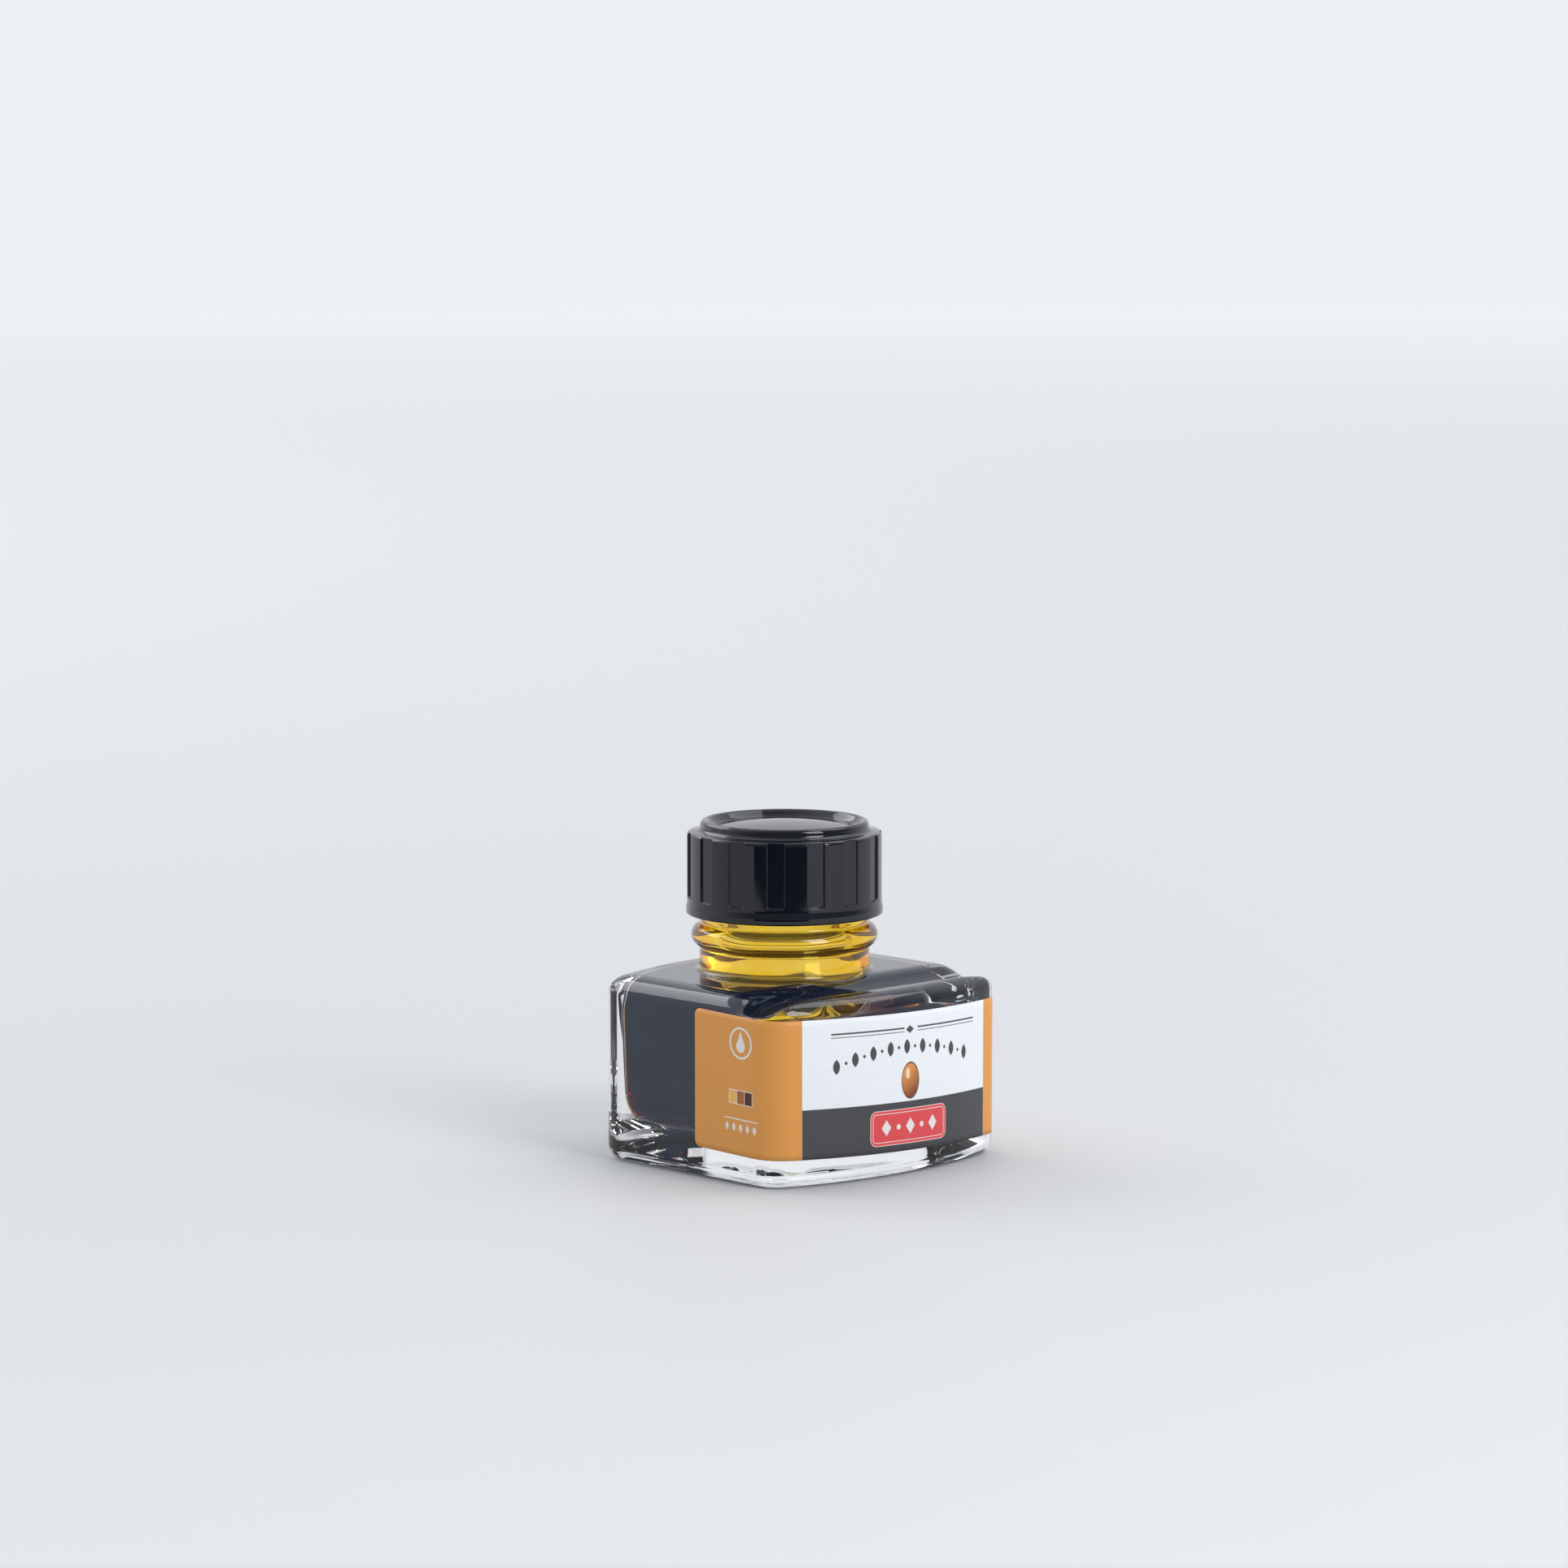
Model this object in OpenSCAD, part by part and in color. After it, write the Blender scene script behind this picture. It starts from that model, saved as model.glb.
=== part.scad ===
// Square ink bottle with a pen rest: moulded glass, ink, wrap-round label, screw cap and seal disc.
// The origin is under the middle of the bottle, on the surface it stands on. +Z is up, and the
// label's wide panel faces -Y. All lengths are in millimetres.

/* [Glass body] */
// Width across the two flat side faces
body_w = 49.5; // [46:0.5:54]
// Depth from the middle of the front face to the middle of the back face
body_d = 48.2; // [45:0.2:52]
// Height of the flat shoulder round the neck
plateau_h = 29.1; // [29:0.1:29.5]
// Height of the upright faces, up to where the shoulder's rounding starts
face_h = 26.2; // [25.5:0.1:26.2]
// Radius of the upright corners
corner_r = 5.3; // [5:0.1:7]
// How far the front face swells between its corners
front_bow = 2.9; // [1:0.1:4]
// How far the back face swells between its corners
back_bow = 3.4; // [1:0.1:4]
// Thickness of the side walls
wall_t = 4.1; // [3:0.1:4.5]
// Thickness of the glass under the ink
floor_t = 5.8; // [4:0.1:7]
// Thickness of the shoulder
roof_t = 2.8; // [2:0.1:3]

/* [Pen rest] */
// Distance of the groove's lowest line in front of the body's middle
groove_y = 15.7; // [15:0.1:17]
// Depth of the groove below the shoulder
groove_depth = 2.5; // [1.5:0.1:2.5]
// Height of the front ridge below the shoulder
ridge_drop = 0.3; // [0:0.1:1]

/* [Neck] */
// Distance of the neck's axis behind the body's middle
neck_y = 3.3; // [2:0.1:4]
// Outer radius of the neck below its bead
neck_r = 13.3; // [12.8:0.1:13.8]
// Outer radius of the bead
bead_r = 14.6; // [14:0.1:15]
// Height of the bead's widest line
bead_h = 34.7; // [34.5:0.1:35]
// Radius of the mouth
mouth_r = 9.5; // [8.5:0.1:10]
// Height of the lip
lip_h = 49.55; // [49:0.05:50]

/* [Thread] */
// Rise of the thread in one turn, for six turns to the inch
pitch = 4.233; // [4:0.001:4.5]
// Radius at the root of the glass thread
glass_root_r = 12.6; // [12.4:0.1:12.7]
// Radius at the crest of the glass thread
glass_crest_r = 13.7; // [13.4:0.1:13.7]
// Turns of thread on the glass
glass_turns = 1.5; // [1:0.25:1.5]

/* [Screw cap] */
// Outer radius of the cap's ribs
cap_r = 15.25; // [15.1:0.05:15.5]
// Height of the cap's lower edge
cap_base_h = 38; // [37.5:0.1:38.5]
// Height of the whole bottle with its cap on
cap_top_h = 52.7; // [52.5:0.1:53.5]
// Number of recessed panels round the cap
panels = 15; // [12:1:18]
// Angle across one recessed panel
panel_angle = 10.7; // [8:0.1:12]
// Depth of a recessed panel
panel_depth = 0.35; // [0.2:0.05:0.4]

/* [Label] */
// Height of the label
label_h = 21.5; // [18:0.1:22]
// Height of the label's lower edge at the middle of the front
label_base_h = 3.9; // [3.5:0.1:5]
// Distance from the middle of the front to each end of the label, round the glass
label_reach = 40.8; // [36:0.1:42]
// Slope of the label, which was glued slightly crooked
label_slope = 0.026; // [0:0.002:0.026]
// Thickness of the label
label_t = 0.1; // [0.08:0.01:0.15]

/* [Hidden] */
$fn = 96;

// Plan of the body. The label adds its thickness to the front, so the glass sits that much back.
half_w = body_w / 2;
front_y = (label_t - body_d) / 2;
back_y = front_y + body_d;
corner_x = half_w - corner_r;
front_r = (corner_x ^ 2 + front_bow ^ 2) / (2 * front_bow);
back_r = (corner_x ^ 2 + back_bow ^ 2) / (2 * back_bow);
front_cy = front_y + front_r;
back_cy = back_y - back_r;
front_corner_y = front_cy - sqrt((front_r - corner_r) ^ 2 - corner_x ^ 2);
back_corner_y = back_cy + sqrt((back_r - corner_r) ^ 2 - corner_x ^ 2);
front_half_angle = asin(corner_x / (front_r - corner_r));
back_half_angle = asin(corner_x / (back_r - corner_r));
face_steps = 12;
corner_steps = 6;
side_steps = 22;
flat_steps = 6;

// Rounded edges of the body
shoulder_in = 4.4;
ridge_in = 2.8;
base_round = 2.3;
foot_in = 4.5;
push_up = 0.8;
edge_steps = 6;
groove_back_w = 7;
groove_front_w = 4.6;
hollow_part = 0.65;
top_steps = 13;
top_reach = 0.58;

// Inside of the body
cavity_floor_round = 4.5;
cavity_face_h = 20.5;
cavity_round_in = 0.2;
cavity_roof_in = 0.12;
cavity_top_steps = 9;
ink_gap = 0.04;
ink_h = 27.4;
throat_r = 10.4;
throat_flare = 3;
throat_top_h = 37.4;
eye_h = 20;

// Neck and lip
neck_foot_round = 0.9;
bead_round = 1.9;
lip_round = 0.8;

// Threads. The cap's thread hangs below the glass one, as it does when the cap is tight.
thread_step = 10;
thread_fade = 25;
glass_thread_h = 40.6;
thread_sink = 0.5;
glass_thread_w = [2.4, 1.2];
cap_thread_w = [2.0, 0.9];
cap_thread_start = 90;
cap_thread_turns = 1.25;
cap_thread_below = 1.65;
cap_bore_r = 14.05;
cap_thread_crest_r = 12.95;

// Cap and seal disc
disc_gap = 0.05;
disc_t = 0.9;
disc_r = 13.4;
flange_h = 1.7;
flange_out = 0.15;
rib_top_h = 50.9;
ring_r = 13.2;
ring_w = 2.2;
dome_rise = 0.85;
well_h = 51.6;
panel_foot = 2.6;
panel_foot_round = 0.7;
first_panel_angle = 5.2;
cap_edge_round = 0.35;

// Label
label_gap = 0.02;
label_end_round = 1.1;
label_steps = 5;

function lerp(a, b, t) = a + (b - a) * t;

// Points of an arc, with its unit normals: each is [[x, y], [nx, ny]]. The end is left to the next piece.
function arc(cx, cy, r, a0, a1, n) =
    [for (i = [0 : n - 1]) let (a = lerp(a0, a1, i / n))
        [[cx + r * cos(a), cy + r * sin(a)], [cos(a), sin(a)]]];

// Points of an upright side, closest together where the groove crosses it
function side(x, y0, y1, n) =
    [for (i = [0 : n - 1]) [[x, lerp(y0, y1, i / n)], [sign(x), 0]]];

function side_points(x, forward) =
    let (mid = -groove_y + groove_back_w + 1)
    forward
        ? concat(side(x, front_corner_y, mid, side_steps), side(x, mid, back_corner_y, flat_steps))
        : concat(side(x, back_corner_y, mid, flat_steps), side(x, mid, front_corner_y, side_steps));

// Plan outline of the body, anticlockwise from the left end of the front face
outline = concat(
    arc(0, front_cy, front_r, 270 - front_half_angle, 270 + front_half_angle, face_steps),
    arc(corner_x, front_corner_y, corner_r, 270 + front_half_angle, 360, corner_steps),
    side_points(half_w, true),
    arc(corner_x, back_corner_y, corner_r, 0, 90 - back_half_angle, corner_steps),
    arc(0, back_cy, back_r, 90 - back_half_angle, 90 + back_half_angle, face_steps),
    arc(-corner_x, back_corner_y, corner_r, 90 + back_half_angle, 180, corner_steps),
    side_points(-half_w, false),
    arc(-corner_x, front_corner_y, corner_r, 180, 270 - front_half_angle, corner_steps));

// Height of an S-shaped bank at distance u from the bottom of a groove: two arcs that meet in line
function bank(u, w, depth) =
    let (both = (w ^ 2 + depth ^ 2) / (2 * depth), low = both * hollow_part, high = both - low)
    u >= w ? depth
        : u < w * hollow_part ? low - sqrt(low ^ 2 - u ^ 2)
        : depth - high + sqrt(high ^ 2 - (w - u) ^ 2);

// Height of the top of the body, before its edges are rounded
function top_z(y) =
    let (u = y + groove_y, bottom = plateau_h - groove_depth)
    u > 0 ? bottom + bank(u, groove_back_w, groove_depth)
        : bottom + bank(-u, groove_front_w, groove_depth - ridge_drop);

function inset(p, d) = p[0] - p[1] * d;
function centre() = [0, neck_y];
function towards_centre(xy, t) = lerp(xy, centre(), t);

// Rings of a body, each one point for every point of the outline
function level_ring(d, z) = [for (p = outline) let (q = inset(p, d)) [q.x, q.y, z]];
// The front edge is rounded more tightly than the others
function edge_in(p) = lerp(shoulder_in, ridge_in, max(0, -p[1].y) ^ 2);
// Rings up the rounding, from the upright faces at angle 0 to the top at 90
function shoulder_ring(a) =
    [for (p = outline)
        let (q = inset(p, edge_in(p) * (1 - cos(a)))) [q.x, q.y, lerp(face_h, top_z(q.y), sin(a))]];
function top_ring(t) =
    [for (p = outline)
        let (q = towards_centre(inset(p, edge_in(p)), t)) [q.x, q.y, top_z(q.y)]];

// Solid through a stack of rings that all have n points, closed by a point at each end
module stack(rings, low, high) {
    n = len(rings[0]);
    last = (len(rings) - 1) * n;
    points = concat([for (ring = rings) each ring], [low, high]);
    walls = [for (k = [0 : len(rings) - 2], i = [0 : n - 1])
        let (a = k * n + i, b = k * n + (i + 1) % n)
            each [[a, a + n, b + n], [a, b + n, b]]];
    bottom = [for (i = [0 : n - 1]) [i, (i + 1) % n, last + n]];
    top = [for (i = [0 : n - 1]) [last + (i + 1) % n, last + i, last + n + 1]];
    polyhedron(points, concat(walls, bottom, top), convexity = 8);
}

quarter = [for (i = [0 : edge_steps]) 90 * i / edge_steps];

// The outside of the body, from the push-up in its base to the middle of its shoulder
module body_outside() {
    rings = concat(
        [level_ring(foot_in, push_up), level_ring(foot_in - push_up, 0)],
        [for (a = quarter) level_ring(base_round * (1 - sin(a)), base_round * (1 - cos(a)))],
        [for (a = quarter) shoulder_ring(a)],
        [for (i = [1 : top_steps]) top_ring(top_reach * i / top_steps)]);
    stack(rings, [0, 0, push_up], [0, neck_y, plateau_h]);
}

// The room for the ink in the body. gap shrinks it on every side, to make the ink itself.
module body_inside(gap) {
    d = wall_t + gap;
    low = floor_t + gap;
    high = plateau_h - roof_t - gap;
    function floor_ring(a) =
        [for (p = outline)
            let (q = towards_centre(inset(p, d), cavity_round_in * (1 - sin(a))))
                [q.x, q.y, low + cavity_floor_round * (1 - cos(a))]];
    // The top follows the outside at the roof's thickness
    function roof_ring(t, rise) =
        [for (p = outline)
            let (q = towards_centre(inset(p, d), t), top = high + top_z(q.y) - plateau_h)
                [q.x, q.y, lerp(cavity_face_h, top, rise)]];
    rings = concat(
        [for (a = quarter) floor_ring(a)],
        [for (a = quarter) roof_ring(cavity_roof_in * (1 - cos(a)), sin(a))],
        [for (i = [1 : cavity_top_steps])
            roof_ring(lerp(cavity_roof_in, top_reach, i / cavity_top_steps), 1)]);
    stack(rings, [0, neck_y, low], [0, neck_y, high]);
}

function quarter_arc(cx, cz, r, a0, a1, n = 8) =
    [for (i = [0 : n]) let (a = lerp(a0, a1, i / n)) [cx + r * cos(a), cz + r * sin(a)]];

module neck_outside() {
    bead_low = bead_h - bead_round;
    bead_high = bead_h + bead_round;
    translate([0, neck_y, 0])
        rotate_extrude()
            polygon(concat(
                [[0, eye_h], [neck_r - 1, eye_h], [neck_r - 1, plateau_h - 1],
                    [neck_r + neck_foot_round, plateau_h - 1]],
                quarter_arc(neck_r + neck_foot_round, plateau_h + neck_foot_round, neck_foot_round,
                    270, 180),
                [[neck_r, bead_low - 0.1]],
                quarter_arc(bead_r - bead_round, bead_h, bead_round, -55, 55, 12),
                [[glass_root_r + 0.5, bead_high - 0.1], [glass_root_r + 0.3, cap_base_h + 0.2],
                    [glass_root_r, cap_base_h + 0.6]],
                quarter_arc(glass_root_r - lip_round, lip_h - lip_round, lip_round, 0, 90),
                [[0, lip_h]]));
}

// The way in for a pen: a straight mouth, and a throat below it that flares into the body
module neck_inside(gap) {
    flare_low = plateau_h - roof_t - 1;
    translate([0, neck_y, 0])
        rotate_extrude()
            polygon(concat(
                [[0, eye_h], [throat_r + throat_flare - gap, eye_h],
                    [throat_r + throat_flare - gap, flare_low]],
                quarter_arc(throat_r + throat_flare - gap, flare_low + throat_flare, throat_flare,
                    270, 180),
                [[throat_r - gap, throat_top_h - 2.2], [mouth_r - gap, throat_top_h - 0.6],
                    [mouth_r - gap, lip_h + 1], [0, lip_h + 1]]));
}

// A thread ridge as one swept solid. It grows from root to crest and back over its first and last degrees.
module thread(root_r, crest_r, widths, start, turns, start_h) {
    n = ceil(turns * 360 / thread_step);
    function section(i) =
        let (
            turned = i * turns * 360 / n,
            grown = min(1, turned / thread_fade, (turns * 360 - turned) / thread_fade),
            tip_r = lerp(root_r, crest_r, max(grown, 0.02)),
            a = start + turned,
            z = start_h + pitch * turned / 360)
        [for (p = [[root_r, -widths[0] / 2], [tip_r, -widths[1] / 2],
                [tip_r, widths[1] / 2], [root_r, widths[0] / 2]])
            [p.x * cos(a), p.x * sin(a), z + p.y]];
    points = [for (i = [0 : n]) each section(i)];
    outward = crest_r > root_r;
    sides = [for (i = [0 : n - 1], k = [0 : 3])
        let (a = i * 4 + k, b = i * 4 + (k + 1) % 4)
            each [[a, b, b + 4], [a, b + 4, a + 4]]];
    ends = [[0, 3, 2], [0, 2, 1], [n * 4, n * 4 + 1, n * 4 + 2], [n * 4, n * 4 + 2, n * 4 + 3]];
    faces = concat(sides, ends);
    polyhedron(points, outward ? faces : [for (f = faces) [f[2], f[1], f[0]]], convexity = 6);
}

module glass_bottle() {
    color([0.86, 0.9, 0.9, 0.5])
        difference() {
            union() {
                body_outside();
                neck_outside();
                translate([0, neck_y, 0])
                    thread(glass_root_r - thread_sink, glass_crest_r, glass_thread_w, 0,
                        glass_turns, glass_thread_h);
            }
            body_inside(0);
            neck_inside(0);
        }
}

module ink() {
    color([0.12, 0.07, 0.03])
        union() {
            body_inside(ink_gap);
            // Its surface stands just inside the flare of the throat
            intersection() {
                neck_inside(ink_gap);
                translate([0, neck_y, 0])
                    cylinder(r = neck_r + 2, h = ink_h);
            }
        }
}

// Point of the label at distance s round the glass from the middle of the front, standing out from it by d
function label_xy(s, d) =
    let (
        face_len = front_r * front_half_angle * PI / 180,
        corner_len = corner_r * (90 - front_half_angle) * PI / 180,
        u = abs(s),
        a = u < face_len
            ? u / front_r * 180 / PI
            : front_half_angle + (u - face_len) / corner_r * 180 / PI)
    u < face_len
        ? [sign(s) * (front_r + d) * sin(a), front_cy - (front_r + d) * cos(a)]
        : u < face_len + corner_len
            ? [sign(s) * (corner_x + (corner_r + d) * sin(a)), front_corner_y - (corner_r + d) * cos(a)]
            : [sign(s) * (half_w + d), front_corner_y + u - face_len - corner_len];

module wrap_label() {
    inner = label_gap;
    outer = label_gap + label_t;
    // Closer steps round the ends, so that the label's corners come out round
    ends = [for (i = [0 : label_steps]) label_end_round * (1 - cos(90 * i / label_steps))];
    middle = [for (s = [-label_reach + label_end_round * 2 : 1 : label_reach - label_end_round * 2]) s];
    stations = concat(
        [for (e = ends) e - label_reach],
        middle,
        [for (i = [label_steps : -1 : 0]) label_reach - ends[i]]);
    function corner_cut(s) =
        let (e = label_end_round - (label_reach - abs(s)))
        e <= 0 ? 0 : label_end_round - sqrt(max(0, label_end_round ^ 2 - e ^ 2));
    function section(s) =
        let (
            low = label_base_h - label_slope * s + corner_cut(s),
            high = label_base_h + label_h - label_slope * s - corner_cut(s),
            a = label_xy(s, inner),
            b = label_xy(s, outer))
        [[b.x, b.y, low], [b.x, b.y, high], [a.x, a.y, high], [a.x, a.y, low]];
    n = len(stations) - 1;
    points = [for (s = stations) each section(s)];
    sides = [for (i = [0 : n - 1], k = [0 : 3])
        let (a = i * 4 + k, b = i * 4 + (k + 1) % 4)
            each [[a, b, b + 4], [a, b + 4, a + 4]]];
    ends_closed = [[0, 3, 2], [0, 2, 1], [n * 4, n * 4 + 1, n * 4 + 2], [n * 4, n * 4 + 2, n * 4 + 3]];
    color([0.86, 0.56, 0.28])
        polyhedron(points, concat(sides, ends_closed), convexity = 6);
}

module seal_disc() {
    color("white")
        translate([0, neck_y, lip_h + disc_gap])
            cylinder(r = disc_r, h = disc_t);
}

// Outside of the cap: flange, ribbed wall, raised ring and the dome inside it
module cap_outside() {
    dome_r = ring_r - ring_w;
    dome_sphere_r = (dome_r ^ 2 + dome_rise ^ 2) / (2 * dome_rise);
    dome_angle = asin(dome_r / dome_sphere_r);
    foot_r = cap_r + flange_out;
    rotate_extrude()
        polygon(concat(
            [[0, cap_base_h], [foot_r - cap_edge_round, cap_base_h]],
            quarter_arc(foot_r - cap_edge_round, cap_base_h + cap_edge_round, cap_edge_round, 270, 360),
            [[foot_r, cap_base_h + flange_h - 0.2], [cap_r, cap_base_h + flange_h]],
            quarter_arc(cap_r - 0.7, rib_top_h - 0.7, 0.7, 0, 75),
            [[ring_r + 0.25, rib_top_h + 0.35]],
            quarter_arc(ring_r - 0.75, cap_top_h - 0.75, 0.75, 0, 180),
            quarter_arc(dome_r + 0.25, well_h + 0.25, 0.25, 0, -90, 4),
            [for (i = [0 : 12])
                let (a = dome_angle * (1 - i / 12))
                    [dome_sphere_r * sin(a), well_h + dome_rise - dome_sphere_r * (1 - cos(a))]]));
}

// A flat recessed panel with a round-cornered foot, open at the top
module panel_cut(angle) {
    half = cap_r * sin(panel_angle / 2);
    out = 2;
    rotate([0, 0, angle])
        translate([cap_r - panel_depth, 0, cap_base_h + panel_foot])
            rotate([90, 0, 90])
                linear_extrude(out)
                    union() {
                        translate([-half, panel_foot_round])
                            square([2 * half, cap_top_h - cap_base_h]);
                        translate([-half + panel_foot_round, 0])
                            square([2 * (half - panel_foot_round), 2 * panel_foot_round]);
                        for (side = [-1, 1])
                            translate([side * (half - panel_foot_round), panel_foot_round])
                                circle(panel_foot_round);
                    }
}

module screw_cap() {
    inside_h = lip_h + disc_gap + disc_t;
    color([0.06, 0.06, 0.07])
        translate([0, neck_y, 0]) {
            difference() {
                cap_outside();
                translate([0, 0, cap_base_h - 1])
                    cylinder(r = cap_bore_r, h = inside_h + disc_gap - cap_base_h + 1);
                for (i = [0 : panels - 1])
                    panel_cut(first_panel_angle + i * 360 / panels);
            }
            thread(cap_bore_r + thread_sink, cap_thread_crest_r, cap_thread_w, cap_thread_start,
                cap_thread_turns, glass_thread_h + pitch * cap_thread_start / 360 - cap_thread_below);
        }
}

glass_bottle();
ink();
wrap_label();
seal_disc();
screw_cap();
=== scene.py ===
"""Looks of a square ink bottle: moulded glass, amber ink, a printed label and a black screw cap.

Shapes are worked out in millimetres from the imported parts' boxes and a few driving sizes, and the
meshes are made in metres. Every round or lofted piece is a stack of rings with equal point counts.
"""

import math

import bpy
import numpy as np
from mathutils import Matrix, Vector

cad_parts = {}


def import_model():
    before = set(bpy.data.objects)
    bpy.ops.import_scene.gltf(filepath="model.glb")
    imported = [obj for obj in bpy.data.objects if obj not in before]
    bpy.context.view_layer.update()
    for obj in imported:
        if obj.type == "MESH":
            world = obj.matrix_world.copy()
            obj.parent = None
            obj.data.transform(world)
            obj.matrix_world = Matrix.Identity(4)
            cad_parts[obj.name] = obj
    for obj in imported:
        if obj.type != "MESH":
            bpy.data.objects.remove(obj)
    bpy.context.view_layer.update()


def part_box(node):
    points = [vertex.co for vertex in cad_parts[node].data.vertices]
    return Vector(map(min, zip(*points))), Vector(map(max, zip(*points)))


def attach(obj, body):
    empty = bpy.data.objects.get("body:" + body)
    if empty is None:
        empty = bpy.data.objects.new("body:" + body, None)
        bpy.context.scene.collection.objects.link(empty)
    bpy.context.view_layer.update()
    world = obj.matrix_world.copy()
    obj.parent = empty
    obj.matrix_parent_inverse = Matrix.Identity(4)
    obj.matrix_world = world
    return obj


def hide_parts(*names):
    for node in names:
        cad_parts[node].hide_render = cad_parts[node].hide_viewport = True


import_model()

MM = 0.001
TAU = 2 * math.pi

# ---------------------------------------------------------------------------------------------
# Sizes, in millimetres
# ---------------------------------------------------------------------------------------------


def node_box(name):
    """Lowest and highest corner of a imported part, in millimetres."""
    low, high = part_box(name)
    return np.array(low) / MM, np.array(high) / MM


GLASS_LOW, GLASS_HIGH = node_box("glass_bottle")
CAP_LOW, CAP_HIGH = node_box("screw_cap")
DISC_LOW, DISC_HIGH = node_box("seal_disc")

# Body of the bottle
HALF_W = GLASS_HIGH[0]
FRONT_Y = GLASS_LOW[1]
BACK_Y = GLASS_HIGH[1]
NECK_Y = (CAP_LOW[1] + CAP_HIGH[1]) / 2
PLATEAU_H = 29.1
FACE_H = 26.2
CORNER_R = 5.3
FRONT_BOW = 2.9
BACK_BOW = 3.4
SHOULDER_IN = 4.4
RIDGE_IN = 2.8
BASE_ROUND = 2.3
FOOT_IN = 4.6
PUSH_UP = 1.2
FOOT_STEP = 0.4
SCALLOP_STEPS = 7

# Pen rest
GROOVE_Y = 15.7
GROOVE_DEPTH = 2.5
RIDGE_DROP = 0.3
GROOVE_BACK_W = 7.0
GROOVE_FRONT_W = 4.6
HOLLOW_PART = 0.65

# Inside of the body
WALL_TOP = 3.3
WALL_FOOT = 4.6
CORNER_EXTRA = 0.8
FLOOR_H = 5.4
FLOOR_CROWN = 1.1
FLOOR_ROUND = 5.0
ROOF_T = 2.2
INNER_FACE_H = 23.0
WAVE = 0.10

# Neck and mouth
NECK_R = 13.3
NECK_FOOT = 0.9
BEAD_R = 14.6
BEAD_H = 34.7
BEAD_ROUND = 1.9
ROOT_R = 12.6
CREST_R = 13.7
LIP_H = GLASS_HIGH[2]
LIP_ROUND = 0.9
MOUTH_R = 9.5
MOUTH_ROUND = 0.5
THROAT_R = 11.7
THROAT_FLARE = 2.2
MOUTH_FOOT_H = 37.2
THREAD_H = 40.6
THREAD_TURNS = 1.5
PITCH = 4.233
SEAM = 0.05
SEAM_W = 0.14
FOOT_LAND = 0.9
SCALLOP_DEPTH = 0.09
THREAD_WIDTHS = (2.4, 1.2)
THREAD_CLEAR_H = 0.6

# Ink
INK_H = 27.4
MENISCUS = 0.5
MENISCUS_REACH = 1.2
INK_GAP = 0.008
FILM_T = 0.12
SKIN_T = 0.04
GLASS_IOR = 1.52
INK_IOR = 1.34
FILM_TOP_H = 45.0

# Label
LABEL_REACH = 40.8
LABEL_SLOPE = 0.026
LABEL_BASE_H = 3.9
LABEL_HEIGHT = 21.5
LABEL_T = 0.1
LABEL_GAP = 0.02
LABEL_STEP = 0.6
LABEL_LEAN = 0.3
LABEL_END_ROUND = 1.1
PANEL_LEFT = -19.9
PANEL_RIGHT = 19.6
BAND_H = 7.7

# Cap
CAP_R = 15.25
FLANGE_R = CAP_HIGH[0]
CAP_BASE = CAP_LOW[2]
CAP_TOP = CAP_HIGH[2]
FLARE_LOW = CAP_BASE + 0.9
FLARE_HIGH = CAP_BASE + 2.1
RIB_TOP = 50.9
CAP_RING_R = 13.2
DOME_R = 11.0
WELL_H = 51.6
DOME_RISE = 0.85
PANELS = 15
PANEL_ANGLE = 10.7
PANEL_DEPTH = 0.35
PANEL_FOOT = 2.6
PANEL_FOOT_ROUND = 0.35
FIRST_PANEL = 5.2
CAP_BORE_R = 14.05
CAP_THREAD_R = 12.95
CAP_THREAD_START = 90.0
CAP_THREAD_TURNS = 1.25
CAP_THREAD_BELOW = 1.65
CAP_THREAD_WIDTHS = (2.0, 0.9)
CAP_EDGE = 0.35
DISC_EDGE = 0.22
DISC_PRINT = 0.07

# ---------------------------------------------------------------------------------------------
# Mesh helpers
# ---------------------------------------------------------------------------------------------


def lerp(a, b, t):
    return a + (b - a) * t


def smooth_step(low, high, x):
    t = np.clip((x - low) / (high - low), 0.0, 1.0)
    return t * t * (3 - 2 * t)


def arc(cx, cy, r, start, end, n, close=False):
    """Points of an arc from start to end degrees. The end point is left out unless close."""
    a = np.radians(np.linspace(start, end, n + 1 if close else n, endpoint=close))
    return np.stack([cx + r * np.cos(a), cy + r * np.sin(a)], axis=1)


def mesh_object(name, vertices, faces, smooth=True):
    mesh = bpy.data.meshes.new(name)
    mesh.from_pydata([tuple(v) for v in np.asarray(vertices) * MM], [], faces)
    mesh.validate()
    if smooth:
        mesh.polygons.foreach_set("use_smooth", [True] * len(mesh.polygons))
    mesh.update()
    piece = bpy.data.objects.new(name, mesh)
    bpy.context.scene.collection.objects.link(piece)
    return piece


def stack(name, rings, low=None, high=None):
    """A solid through rings, each an (n, 3) array. low and high are the points that close its ends.
    With neither, the last ring joins the first, as in a tube bent round on itself."""
    count = len(rings)
    n = len(rings[0])
    vertices = list(np.concatenate(rings))
    around = np.arange(n)
    after = (around + 1) % n
    faces = []
    for k in range(count if low is None else count - 1):
        a = k * n
        b = ((k + 1) % count) * n
        quads = np.stack([a + around, a + after, b + after, b + around], axis=1)
        faces += quads.tolist()
    if low is not None:
        vertices.append(np.array(low, float))
        hub = len(vertices) - 1
        faces += [[int(j), int(i), hub] for i, j in zip(around, after)]
        vertices.append(np.array(high, float))
        hub = len(vertices) - 1
        top = (count - 1) * n
        faces += [[top + int(i), top + int(j), hub] for i, j in zip(around, after)]
    return mesh_object(name, vertices, faces)


# ---------------------------------------------------------------------------------------------
# The bottle's surfaces
# ---------------------------------------------------------------------------------------------

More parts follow.
